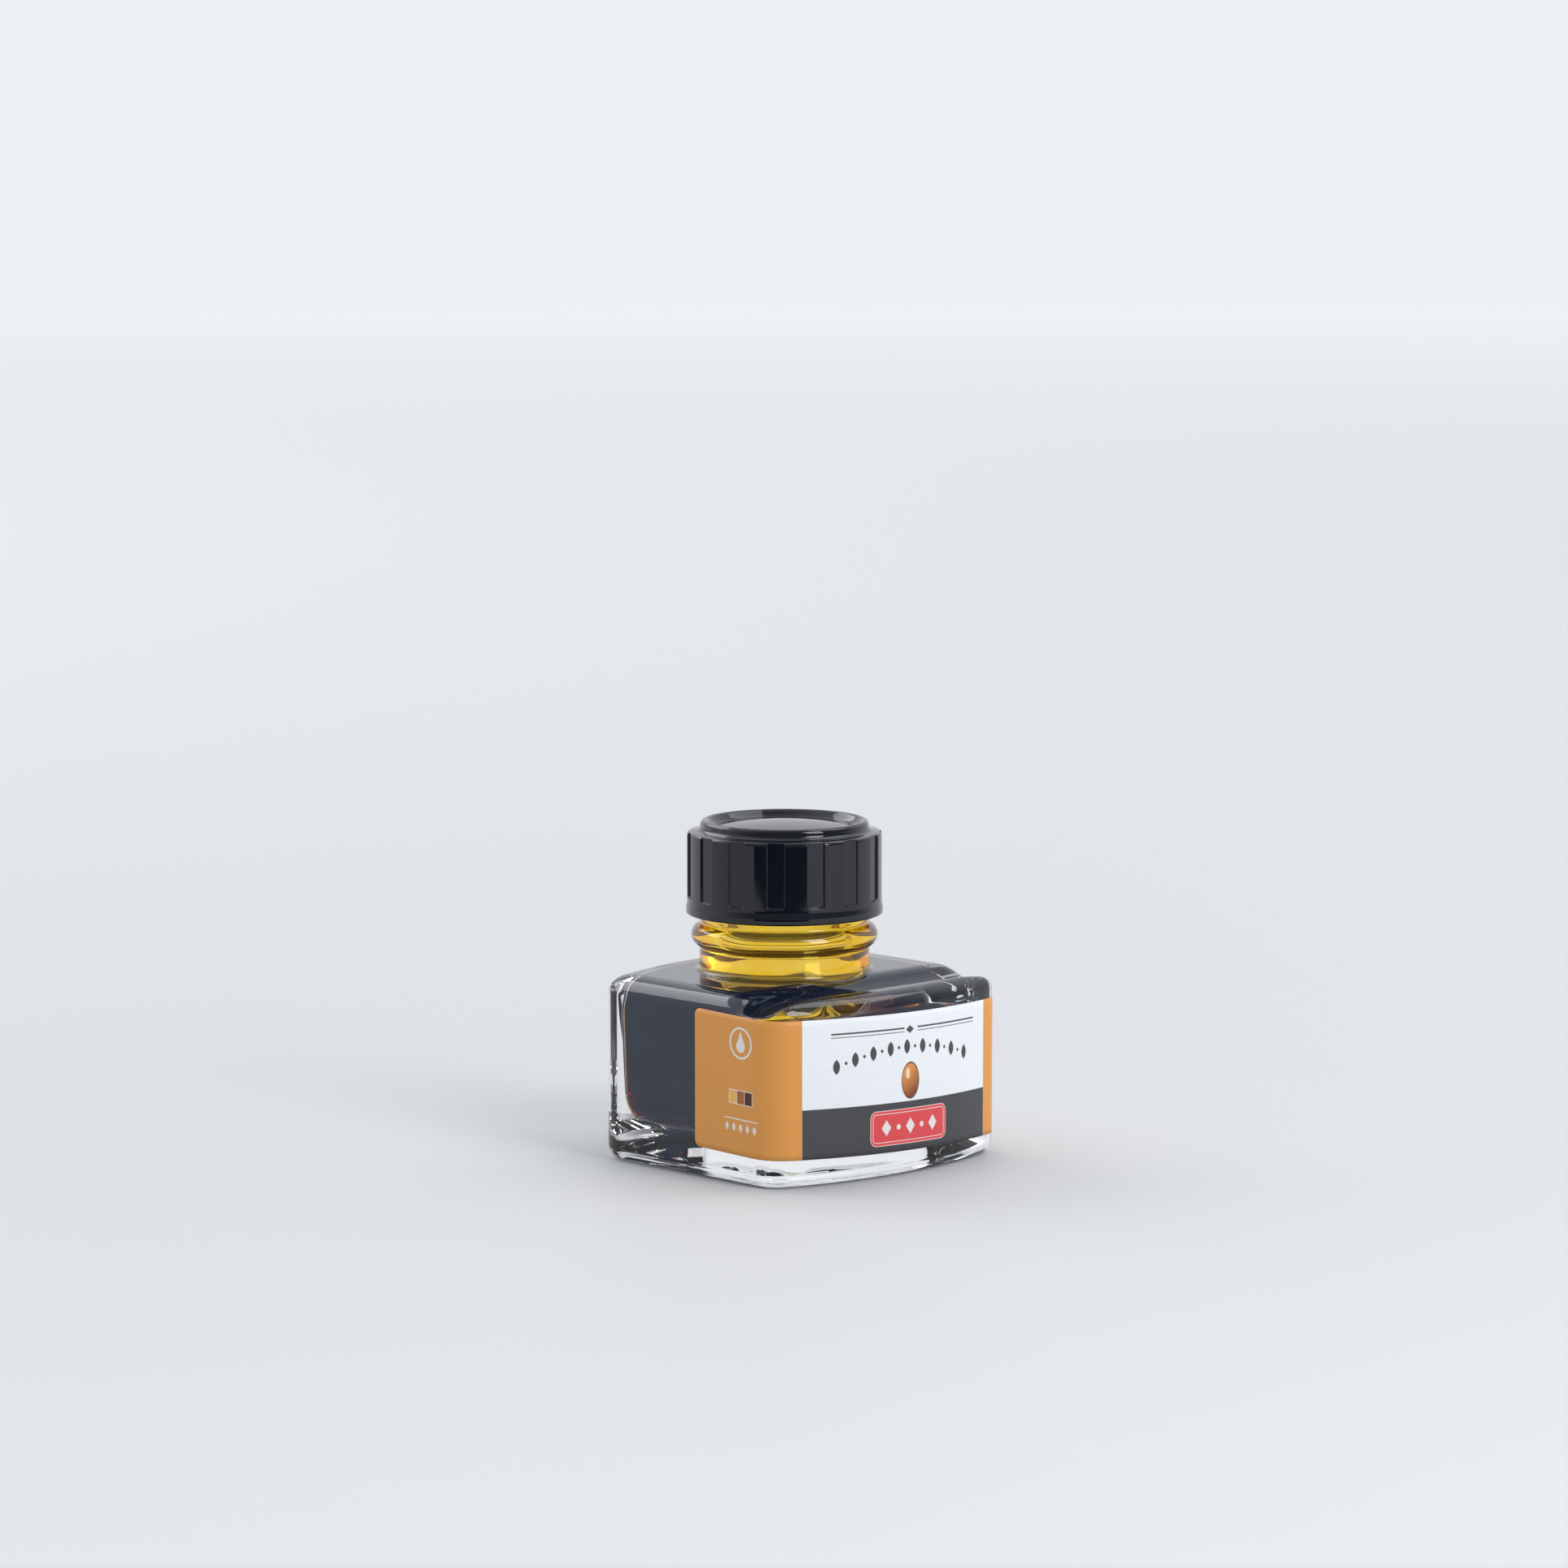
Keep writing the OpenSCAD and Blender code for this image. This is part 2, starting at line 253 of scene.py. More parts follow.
CORNER_X = HALF_W - CORNER_R
FRONT_R = (CORNER_X**2 + FRONT_BOW**2) / (2 * FRONT_BOW)
BACK_R = (CORNER_X**2 + BACK_BOW**2) / (2 * BACK_BOW)
FRONT_CY = FRONT_Y + FRONT_R
BACK_CY = BACK_Y - BACK_R
FRONT_CORNER_Y = FRONT_CY - math.sqrt((FRONT_R - CORNER_R) ** 2 - CORNER_X**2)
BACK_CORNER_Y = BACK_CY + math.sqrt((BACK_R - CORNER_R) ** 2 - CORNER_X**2)
FRONT_ANGLE = math.degrees(math.asin(CORNER_X / (FRONT_R - CORNER_R)))
BACK_ANGLE = math.degrees(math.asin(CORNER_X / (BACK_R - CORNER_R)))
NECK_AXIS = np.array([0.0, NECK_Y])


def make_outline(face_steps=44, corner_steps=18, side_steps=54):
    """Plan outline of the body and its unit normals, anticlockwise from the front face's left end."""
    # Points on the flat sides are closest together by the pen rest
    along = np.linspace(0, 1, side_steps, endpoint=False)
    side_y = lerp(FRONT_CORNER_Y, BACK_CORNER_Y, along**1.2)
    back_side_y = lerp(FRONT_CORNER_Y, BACK_CORNER_Y, (1 - along) ** 1.2)
    points = []
    normals = []

    def add_arc(cx, cy, r, start, end, n):
        p = arc(cx, cy, r, start, end, n)
        points.append(p)
        normals.append((p - [cx, cy]) / r)

    def add_side(x, ys):
        points.append(np.stack([np.full(len(ys), x), ys], axis=1))
        normals.append(np.tile([math.copysign(1, x), 0.0], (len(ys), 1)))

    add_arc(0, FRONT_CY, FRONT_R, 270 - FRONT_ANGLE, 270 + FRONT_ANGLE, face_steps)
    add_arc(CORNER_X, FRONT_CORNER_Y, CORNER_R, 270 + FRONT_ANGLE, 360, corner_steps)
    add_side(HALF_W, side_y)
    add_arc(CORNER_X, BACK_CORNER_Y, CORNER_R, 0, 90 - BACK_ANGLE, corner_steps)
    add_arc(0, BACK_CY, BACK_R, 90 - BACK_ANGLE, 90 + BACK_ANGLE, face_steps)
    add_arc(-CORNER_X, BACK_CORNER_Y, CORNER_R, 90 + BACK_ANGLE, 180, corner_steps)
    add_side(-HALF_W, back_side_y)
    add_arc(-CORNER_X, FRONT_CORNER_Y, CORNER_R, 180, 270 - FRONT_ANGLE, corner_steps)
    return np.concatenate(points), np.concatenate(normals)


OUTLINE, NORMALS = make_outline()
# Each column of points keeps its bearing from the neck's axis all the way up
BEARING = np.arctan2(OUTLINE[:, 1] - NECK_Y, OUTLINE[:, 0])
AROUND = np.stack([np.cos(BEARING), np.sin(BEARING)], axis=1)
# Plan width of the shoulder's rounding, which is tighter along the front ridge than elsewhere
EDGE_IN = lerp(SHOULDER_IN, RIDGE_IN, np.maximum(0, -NORMALS[:, 1]) ** 2)[:, None]


def bank(u, w, depth):
    """Height of an S-shaped bank at distance u from the bottom of a groove. Two arcs meet in line."""
    both = (w**2 + depth**2) / (2 * depth)
    low = both * HOLLOW_PART
    high = both - low
    inside = low - np.sqrt(np.maximum(low**2 - np.minimum(u, w) ** 2, 0))
    outside = depth - high + np.sqrt(np.maximum(high**2 - np.maximum(w - u, 0) ** 2, 0))
    return np.where(u >= w, depth, np.where(u < w * HOLLOW_PART, inside, outside))


def top_z(y):
    """Height of the top of the body, before its edges are rounded."""
    u = y + GROOVE_Y
    bottom = PLATEAU_H - GROOVE_DEPTH
    behind = bank(np.maximum(u, 0), GROOVE_BACK_W, GROOVE_DEPTH)
    ahead = bank(np.maximum(-u, 0), GROOVE_FRONT_W, GROOVE_DEPTH - RIDGE_DROP)
    return bottom + np.where(u > 0, behind, ahead)


def ring(xy, z):
    return np.column_stack([xy, np.broadcast_to(z, len(xy))])


def circle(r):
    return NECK_AXIS + AROUND * r


def seam(xy):
    """The parting line of the mould is a faint ridge in the bottle's middle plane, at front and back."""
    return SEAM * np.exp(-((xy[:, 0] / SEAM_W) ** 2))


def smooth_profile(points, step=0.19, reach=2):
    """A profile of (r, z) points, walked in even steps with its corners softened as moulded glass is."""
    points = np.array(points, float)
    lengths = np.hypot(*np.diff(points, axis=0).T)
    along = np.concatenate([[0], np.cumsum(lengths)])
    n = max(4, int(along[-1] / step))
    s = np.linspace(0, along[-1], n)
    dense = np.stack([np.interp(s, along, points[:, k]) for k in (0, 1)], axis=1)
    for _ in range(reach):
        dense[1:-1] = (dense[:-2] + 2 * dense[1:-1] + dense[2:]) / 4
    return dense


def thread_height(bearing, z, start_h, turns, widths, start=0.0, fade=25.0):
    """How far up a helical ridge a point is, from 0 at its root to 1 at its crest."""
    out = np.zeros_like(bearing)
    degrees = np.degrees(bearing) % 360
    for turn in range(-1, 3):
        turned = degrees + 360 * turn - start
        centre = start_h + PITCH * turned / 360
        away = np.abs(z - centre)
        ridge = 1 - smooth_step(widths[1] / 2 - 0.1, widths[0] / 2 + 0.1, away)
        grown = np.clip(np.minimum(turned, turns * 360 - turned) / fade, 0, 1)
        out = np.maximum(out, ridge * grown)
    return out


def outside_rings():
    """From the middle of the base, up the faces and over the shoulder, up the neck to the lip."""
    rings = []
    foot = OUTLINE - NORMALS * FOOT_IN
    for t in np.linspace(0.1, 1, 12):
        # The base is slightly hollow, and deepest in the middle
        rings.append(ring(foot * t, lerp(PUSH_UP, FOOT_STEP, t**2)))
    for t in np.linspace(0.2, 1, 4):
        inset = lerp(FOOT_IN, FOOT_IN - FOOT_LAND, t)
        rings.append(ring(OUTLINE - NORMALS * inset, FOOT_STEP * (1 - smooth_step(0, 1, t))))
    # Shallow scallops pressed into the ring that the bottle stands on
    inset = (FOOT_IN - FOOT_LAND + BASE_ROUND) / 2
    scallop = SCALLOP_DEPTH * (1 + np.sin(np.arange(len(OUTLINE)) * TAU / SCALLOP_STEPS))
    rings.append(ring(OUTLINE - NORMALS * inset, scallop))
    for a in np.radians(np.linspace(0, 90, 9)):
        inset = BASE_ROUND * (1 - math.sin(a))
        rings.append(ring(OUTLINE - NORMALS * inset, BASE_ROUND * (1 - math.cos(a))))
    for z in np.linspace(BASE_ROUND, FACE_H, 14)[1:-1]:
        rings.append(ring(OUTLINE, z))
    for a in np.radians(np.linspace(0, 90, 20)):
        xy = OUTLINE - NORMALS * EDGE_IN * (1 - math.cos(a))
        rings.append(ring(xy, lerp(FACE_H, top_z(xy[:, 1]), math.sin(a))))
    shoulder = OUTLINE - NORMALS * EDGE_IN
    foot_circle = circle(NECK_R + NECK_FOOT)
    for t in np.linspace(0, 1, 62)[1:]:
        xy = lerp(shoulder, foot_circle, t)
        rings.append(ring(xy, top_z(xy[:, 1]) + seam(xy)))
    # A small fillet where the neck grows out of the shoulder
    foot_z = top_z(foot_circle[:, 1])
    for a in np.radians(np.linspace(15, 90, 6)):
        xy = circle(NECK_R + NECK_FOOT * (1 - math.sin(a)))
        rings.append(ring(xy, foot_z + NECK_FOOT * (1 - math.cos(a)) + seam(xy) * math.cos(a)))
    neck_start = PLATEAU_H + NECK_FOOT + 0.3
    fillet_top = rings[-1][:, 2]
    for t in np.linspace(0, 1, 5)[1:-1]:
        rings.append(ring(circle(NECK_R), lerp(fillet_top, neck_start, t)))
    profile = [(NECK_R, neck_start), (NECK_R, BEAD_H - BEAD_ROUND + 0.1)]
    profile += arc(BEAD_R - BEAD_ROUND, BEAD_H, BEAD_ROUND, -52, 55, 14, close=True).tolist()
    profile += [(ROOT_R + 0.55, BEAD_H + BEAD_ROUND), (ROOT_R + 0.3, CAP_BASE + 0.2)]
    profile += [(ROOT_R, CAP_BASE + THREAD_CLEAR_H), (ROOT_R, LIP_H - LIP_ROUND)]
    lip = arc(ROOT_R - LIP_ROUND, LIP_H - LIP_ROUND, LIP_ROUND, 0, 90, 6, close=True)
    for r, z in smooth_profile(profile):
        wide = np.full(len(BEARING), r)
        if z > CAP_BASE + THREAD_CLEAR_H:
            crest = thread_height(BEARING, z, THREAD_H, THREAD_TURNS, THREAD_WIDTHS)
            wide = np.maximum(r, lerp(ROOT_R, CREST_R, crest))
        wide = wide + seam(AROUND * r)
        rings.append(ring(NECK_AXIS + AROUND * wide[:, None], z))
    for r, z in lip[1:]:
        rings.append(ring(circle(r), z))
    return rings


OUTSIDE_RINGS = outside_rings()


def wave(points):
    """Unevenness of a glass wall that the mould didn't touch, as a shift. The floor is the worst."""
    x, y, z = points.T
    slow = np.sin(0.31 * x + 1.3 * np.sin(0.17 * z) + 0.4) * np.cos(0.27 * y + 0.9)
    floor = np.sin(0.62 * x + 0.9 * np.sin(0.5 * y)) * np.cos(0.71 * y + 0.8 * np.sin(0.3 * x))
    near_floor = 1 - smooth_step(FLOOR_H + 1, FLOOR_H + FLOOR_ROUND, z)
    return WAVE * (slow + 1.5 * floor * near_floor)


def inner_wall(z):
    """Plan of the inside at height z. The walls are thicker towards the floor and at the corners."""
    t = np.clip((z - FLOOR_H) / (INNER_FACE_H - FLOOR_H), 0, 1)
    corner = (2 * np.abs(NORMALS[:, 0] * NORMALS[:, 1])) ** 2
    return OUTLINE - NORMALS * (lerp(WALL_FOOT, WALL_TOP, t**0.7) + CORNER_EXTRA * corner)[:, None]


def inside_rings(out=0.0, top_h=None):
    """From the middle of the floor up to the lip, or to top_h. out grows the surface into the glass."""
    rings = []

    def add(xy, z, away):
        p = ring(xy, z)
        shift = wave(p)[:, None] + out
        rings.append(p + away * shift)

    sideways = np.column_stack([NORMALS, np.zeros(len(NORMALS))])
    down = np.array([0.0, 0.0, -1.0])
    up = -down
    floor_edge = inner_wall(FLOOR_H)
    inner = floor_edge * (1 - FLOOR_ROUND / HALF_W)
    for t in np.linspace(0.12, 1, 10):
        add(inner * t, FLOOR_H + FLOOR_CROWN * (1 - t**2), down)
    for a in np.radians(np.linspace(0, 90, 10))[1:]:
        z = FLOOR_H + FLOOR_ROUND * (1 - math.cos(a))
        wall = inner_wall(z)
        add(lerp(inner, wall, math.sin(a)), z, lerp(down, sideways, math.sin(a)))
    low = FLOOR_H + FLOOR_ROUND
    for z in np.linspace(low, INNER_FACE_H, 12)[1:]:
        add(inner_wall(z), z, sideways)
    # Under the shoulder, in to the throat and up it
    wall = inner_wall(INNER_FACE_H)
    throat_edge = circle(THROAT_R + THROAT_FLARE)
    roof_edge = lerp(wall, throat_edge, 0.22)
    for a in np.radians(np.linspace(0, 90, 12))[1:]:
        xy = lerp(wall, roof_edge, 1 - math.cos(a))
        z = lerp(INNER_FACE_H, top_z(xy[:, 1]) - ROOF_T, math.sin(a))
        add(xy, z, lerp(sideways, up, math.sin(a)))
    for t in np.linspace(0, 1, 38)[1:]:
        xy = lerp(roof_edge, throat_edge, t)
        add(xy, top_z(xy[:, 1]) - ROOF_T, up)
    edge_z = rings[-1][:, 2] - out
    flare_top = PLATEAU_H - 0.6
    for a in np.radians(np.linspace(0, 90, 9))[1:]:
        r = THROAT_R + THROAT_FLARE * (1 - math.sin(a)) + out
        rings.append(ring(circle(r), lerp(edge_z, flare_top, 1 - math.cos(a)) + out * math.cos(a)))
    if top_h is not None:
        return [r for r in rings if r[:, 2].mean() < top_h]
    return rings + throat_rings(flare_top, out)


def throat_radius(z):
    """Inner radius of the neck, which widens from the mouth down to the body."""
    t = (z - PLATEAU_H) / (MOUTH_FOOT_H - PLATEAU_H)
    return lerp(THROAT_R, MOUTH_R, min(max(t, 0.0), 1.0))


def throat_rings(low, out=0.0, step=0.5):
    """Up the inside of the neck and over the rounded edge of the mouth. It is uneven below the mouth."""
    rings = []
    mouth_edge = LIP_H - MOUTH_ROUND
    for z in np.arange(low + step, mouth_edge - 0.05, step):
        ripple = 0.03 * np.sin(3 * BEARING + 0.8 * z) + 0.02 * np.sin(7 * BEARING - 1.7 * z)
        r = throat_radius(z) + ripple * (z < MOUTH_FOOT_H - 2) + out
        rings.append(ring(circle(r[:, None]), z))
    for r, z in arc(MOUTH_R + MOUTH_ROUND, mouth_edge, MOUTH_ROUND, 180, 90, 5, close=True):
        rings.append(ring(circle(r), z))
    return rings


def mark_wet_faces(bottle, material):
    """Where ink touches the glass, light passes from one to the other and not to air."""
    bottle.data.materials.append(material)
    inner = len(OUTSIDE_RINGS) * len(OUTLINE)
    for face in bottle.data.polygons:
        if min(face.vertices) >= inner and face.center.z < (INK_H + MENISCUS) * MM:
            face.material_index = 1


def ink_level(t):
    """Height of the ink's surface, t of the way from the neck's axis to the glass, where it climbs."""
    return INK_H + MENISCUS * math.exp((t - 1) * THROAT_R / MENISCUS_REACH)


def ink_skin():
    """The top of the ink, a thin disc that mirrors the neck."""

    def level(t, lift):
        return ring(circle((THROAT_R - 0.02) * t), ink_level(t) + lift)

    steps = np.linspace(0.04, 1, 14)
    under = [level(t, -SKIN_T) for t in steps]
    over = [level(t, SKIN_T) for t in reversed(steps)]
    return stack("ink_surface", under + over, [0, NECK_Y, INK_H - SKIN_T], [0, NECK_Y, INK_H + SKIN_T])


def glass_bottle():
    inside = inside_rings()
    inside.reverse()
    base = [0, 0, PUSH_UP]
    floor_middle = [0, 0, FLOOR_H + FLOOR_CROWN]
    return stack("glass_bottle_clear", OUTSIDE_RINGS + inside, base, floor_middle)


def ink():
    """The ink fills the glass up to a hair's breadth."""
    rings = inside_rings(-INK_GAP, top_h=INK_H + MENISCUS)
    for t in np.linspace(0, 1, 12):
        rings.append(ring(circle(THROAT_R * (1 - 0.96 * t)), ink_level(1 - t)))
    return stack("ink_fill", rings, [0, 0, FLOOR_H + FLOOR_CROWN + INK_GAP], [0, NECK_Y, INK_H])


def ink_film():
    """Ink that clings to the inside of the neck after the bottle is tilted. It lies in the glass's own
    skin, so that light mirrored inside the neck is coloured too."""
    inner = [r for r in inside_rings(-INK_GAP) if INK_H - 0.3 < r[:, 2].mean() < FILM_TOP_H]
    outer = []
    for k, r in enumerate(inner):
        # The film runs down, so it is thicker towards the ink
        low = 1 - k / len(inner)
        streaks = 1 + 0.18 * np.sin(5 * BEARING + 2 * low) + 0.10 * np.sin(13 * BEARING - 3 * low)
        thick = FILM_T * (0.7 + 0.5 * low) * streaks
        outer.append(r + ring(AROUND * thick[:, None], 0.0))
    inner.reverse()
    return stack("ink_film", outer + inner)


# ---------------------------------------------------------------------------------------------
# The label
# ---------------------------------------------------------------------------------------------

FACE_LEN = FRONT_R * math.radians(FRONT_ANGLE)
CORNER_LEN = CORNER_R * math.radians(90 - FRONT_ANGLE)


def label_xy(s, d):
    """Point of the label at distance s round the glass from the middle of the front, d out from it."""
    u = abs(s)
    side = math.copysign(1, s)
    if u < FACE_LEN:
        a = u / FRONT_R
        r = FRONT_R + d
        return side * r * math.sin(a), FRONT_CY - r * math.cos(a)
    if u < FACE_LEN + CORNER_LEN:
        a = math.radians(FRONT_ANGLE) + (u - FACE_LEN) / CORNER_R
        r = CORNER_R + d
        return side * (CORNER_X + r * math.sin(a)), FRONT_CORNER_Y - r * math.cos(a)
    return side * (HALF_W + d), FRONT_CORNER_Y + u - FACE_LEN - CORNER_LEN


def shoulder_inset(z, top):
    """How far in the rounded shoulder is at height z, where the top of the body is at height top."""
    t = np.clip((z - FACE_H) / max(top - FACE_H, 0.1), 0, 1)
    return SHOULDER_IN * (1 - math.sqrt(1 - t**2))


def wrap_label():
    """A thin curved sheet with round corners. Its UV map is in label millimetres: along it and up it."""
    end = LABEL_END_ROUND
    close = [end * (1 - math.cos(math.radians(a))) for a in np.linspace(0, 90, 8)]
    stations = [e - LABEL_REACH for e in close]
    stations += list(np.arange(-LABEL_REACH + 2 * end, LABEL_REACH - 1.5 * end, LABEL_STEP))
    stations += [LABEL_REACH - e for e in reversed(close)]
    levels = np.linspace(0, 1, 25)
    vertices = []
    uvs = []
    for layer in (0, 1):
        for s in stations:
            over = end - (LABEL_REACH - abs(s))
            cut = 0 if over <= 0 else end - math.sqrt(max(0, end**2 - over**2))
            for level in levels:
                v = lerp(cut, LABEL_HEIGHT - cut, level)
                z = LABEL_BASE_H - LABEL_SLOPE * s + v
                # It leans in a little where it reaches the rounding of the shoulder
                y = label_xy(s, LABEL_GAP)[1]
                inset = min(shoulder_inset(z, float(top_z(np.array(y)))), LABEL_LEAN)
                vertices.append((*label_xy(s, LABEL_GAP + LABEL_T * layer - inset), z))
                uvs.append((s, v))
    rows = len(levels)
    count = len(stations)
    faces = []
    for layer in (0, 1):
        base = layer * count * rows
        for i in range(count - 1):
            for k in range(rows - 1):
                a = base + i * rows + k
                quad = [a, a + rows, a + rows + 1, a + 1]
                faces.append(quad if layer else quad[::-1])
    back = count * rows
    rim = [i * rows for i in range(count)]
    rim += [(count - 1) * rows + k for k in range(1, rows)]
    rim += [i * rows + rows - 1 for i in range(count - 2, -1, -1)]
    rim += [k for k in range(rows - 2, 0, -1)]
    for a, b in zip(rim, rim[1:] + rim[:1]):
        faces.append([a, b, b + back, a + back])
    piece = mesh_object("wrap_label_print", vertices, faces)
    layer_map = piece.data.uv_layers.new(name="label_mm")
    for loop in piece.data.loops:
        s, v = uvs[loop.vertex_index]
        layer_map.data[loop.index].uv = (s, v)
    sharp = piece.data.attributes.new("sharp_face", "BOOLEAN", "FACE")
    rim_count = len(rim)
    total = len(piece.data.polygons)
    sharp.data.foreach_set("value", [i >= total - rim_count for i in range(total)])
    return piece


# ---------------------------------------------------------------------------------------------
# The cap and the seal disc
# ---------------------------------------------------------------------------------------------


def cap_bearings():
    """Bearings round the cap, closest together at the edges of the recessed panels."""
    half = PANEL_ANGLE / 2
    edge = np.array([-0.9, -0.55, -0.3, -0.15, -0.05, 0.05, 0.15, 0.3, 0.6, 1.2, 1.9, 2.6])
    gap = 360 / PANELS
    rib = np.linspace(half + edge[-1], gap - half - edge[-1], 4)[1:-1]
    one = np.unique(np.round(np.concatenate([-half - edge, [0.0], half + edge, rib]), 4))
    out = np.concatenate([FIRST_PANEL + gap * k + one for k in range(PANELS)])
    return np.radians(np.sort(out))


CAP_BEARING = cap_bearings()


def cap_circle(r, z):
    xy = np.stack([np.cos(CAP_BEARING), np.sin(CAP_BEARING)], axis=1) * np.reshape(r, (-1, 1))
    return ring(NECK_AXIS + xy, z)


def panel_recess(z):
    """Depth of the flat recessed panels at height z, with a soft edge and round lower corners."""
    gap = 360 / PANELS
    degrees = (np.degrees(CAP_BEARING) - FIRST_PANEL + gap / 2) % gap - gap / 2
    across = CAP_R * np.sin(np.radians(degrees))
    half = CAP_R * math.sin(math.radians(PANEL_ANGLE / 2))
    foot = CAP_BASE + PANEL_FOOT
    dx = np.abs(across) - (half - PANEL_FOOT_ROUND)
    dz = (foot + PANEL_FOOT_ROUND) - z
    outside = np.hypot(np.maximum(dx, 0), max(dz, 0)) + np.minimum(np.maximum(dx, dz), 0)
    inside = PANEL_FOOT_ROUND - outside
    cut = smooth_step(-0.04, 0.10, inside)
    flat = (CAP_R - PANEL_DEPTH) / np.cos(np.radians(degrees))
    return cut * np.maximum(CAP_R - flat, 0)


def screw_cap():
    rings = []
    for r, z in arc(FLANGE_R - CAP_EDGE, CAP_BASE + CAP_EDGE, CAP_EDGE, 270, 360, 6, close=True):
        rings.append(cap_circle(r, z))
    # The skirt's foot flares out softly
    for t in np.linspace(0, 1, 7):
        r = lerp(FLANGE_R, CAP_R, smooth_step(0, 1, t))
        rings.append(cap_circle(r, lerp(FLARE_LOW, FLARE_HIGH, t)))
    foot = CAP_BASE + PANEL_FOOT
    wall = [CAP_BASE + 2.3, foot - 0.15, foot - 0.05, foot, foot + 0.06, foot + 0.13, foot + 0.22]
    wall += list(np.linspace(foot + 0.34, foot + 0.9, 6))
    wall += list(np.linspace(foot + 1.6, RIB_TOP - 0.8, 12))
    for z in wall:
        rings.append(cap_circle(CAP_R - panel_recess(z), z))
    # The rib tops are rounded over, and the panels run out at the shoulder
    shoulder = [(CAP_R, RIB_TOP - 0.7), (CAP_R, RIB_TOP - 0.5)]
    shoulder += arc(CAP_R - 0.5, RIB_TOP - 0.5, 0.5, 0, 78, 8, close=True).tolist()
    shoulder += [(CAP_RING_R + 0.5, RIB_TOP + 0.22), (CAP_RING_R + 0.12, RIB_TOP + 0.5)]
    shoulder += [(CAP_RING_R, RIB_TOP + 0.8), (CAP_RING_R, CAP_TOP - 0.75)]
    shoulder += arc(CAP_RING_R - 0.75, CAP_TOP - 0.75, 0.75, 0, 140, 10, close=True).tolist()
    shoulder += [(DOME_R + 0.35, WELL_H + 0.25), (DOME_R + 0.05, WELL_H)]
    for r, z in smooth_profile(shoulder, step=0.11, reach=2):
        bowl = np.maximum(CAP_R - panel_recess(RIB_TOP - 2), 0)
        rings.append(cap_circle(np.minimum(r, bowl) if z < RIB_TOP + 0.05 else r, z))
    sphere_r = (DOME_R**2 + DOME_RISE**2) / (2 * DOME_RISE)
    dome_angle = math.asin(DOME_R / sphere_r)
    for t in np.linspace(1, 0.04, 16):
        a = dome_angle * t
        z = WELL_H + DOME_RISE - sphere_r * (1 - math.cos(a))
        rings.append(cap_circle(sphere_r * math.sin(a), z))
    # Down the inside, with its thread
    ceiling = DISC_HIGH[2] + 0.05
    start = THREAD_H + PITCH * CAP_THREAD_START / 360 - CAP_THREAD_BELOW
    thread = (start, CAP_THREAD_TURNS, CAP_THREAD_WIDTHS, CAP_THREAD_START)
    inner = [cap_circle(FLANGE_R - CAP_EDGE - 0.4, CAP_BASE), cap_circle(CAP_BORE_R + 0.35, CAP_BASE)]
    inner += [cap_circle(CAP_BORE_R + 0.1, CAP_BASE + 0.08), cap_circle(CAP_BORE_R, CAP_BASE + 0.3)]
    for z in np.arange(CAP_BASE + 0.5, ceiling - 0.4, 0.2):
        ridge = thread_height(CAP_BEARING, z, *thread)
        inner.append(cap_circle(lerp(CAP_BORE_R, CAP_THREAD_R, ridge), z))
    for a in np.radians(np.linspace(0, 90, 5)):
        inner.append(cap_circle(CAP_BORE_R - 0.3 * (1 - math.cos(a)), ceiling - 0.3 + 0.3 * math.sin(a)))
    inner += [cap_circle(r, ceiling) for r in (10, 6, 2)]
    inner.reverse()
    top = [0, NECK_Y, WELL_H + DOME_RISE]
    return stack("screw_cap_moulded", inner + rings, [0, NECK_Y, ceiling], top)


def seal_disc():
    r = (DISC_HIGH[0] - DISC_LOW[0]) / 2
    low = DISC_LOW[2]
    high = DISC_HIGH[2]
    bearing = np.radians(np.linspace(0, 360, 96, endpoint=False))
    unit = np.stack([np.cos(bearing), np.sin(bearing)], axis=1)
    profile = [(r * t, low) for t in (0.1, 0.4)]
    # The lip of the glass has pressed a shallow ring into the disc
    pressed = low + DISC_PRINT
    profile += [(MOUTH_R - 0.3, low), (MOUTH_R + 0.2, pressed), (ROOT_R - 0.6, pressed), (ROOT_R, low)]
    profile += arc(r - DISC_EDGE, low + DISC_EDGE, DISC_EDGE, 270, 360, 5, close=True).tolist()
    profile += arc(r - DISC_EDGE, high - DISC_EDGE, DISC_EDGE, 0, 90, 5, close=True).tolist()
    profile += [(r * t, high) for t in (0.6, 0.1)]
    rings = [ring(NECK_AXIS + unit * radius, z) for radius, z in profile]
    return stack("seal_disc_foam", rings, [0, NECK_Y, low], [0, NECK_Y, high])


# ---------------------------------------------------------------------------------------------
# Materials
# ---------------------------------------------------------------------------------------------


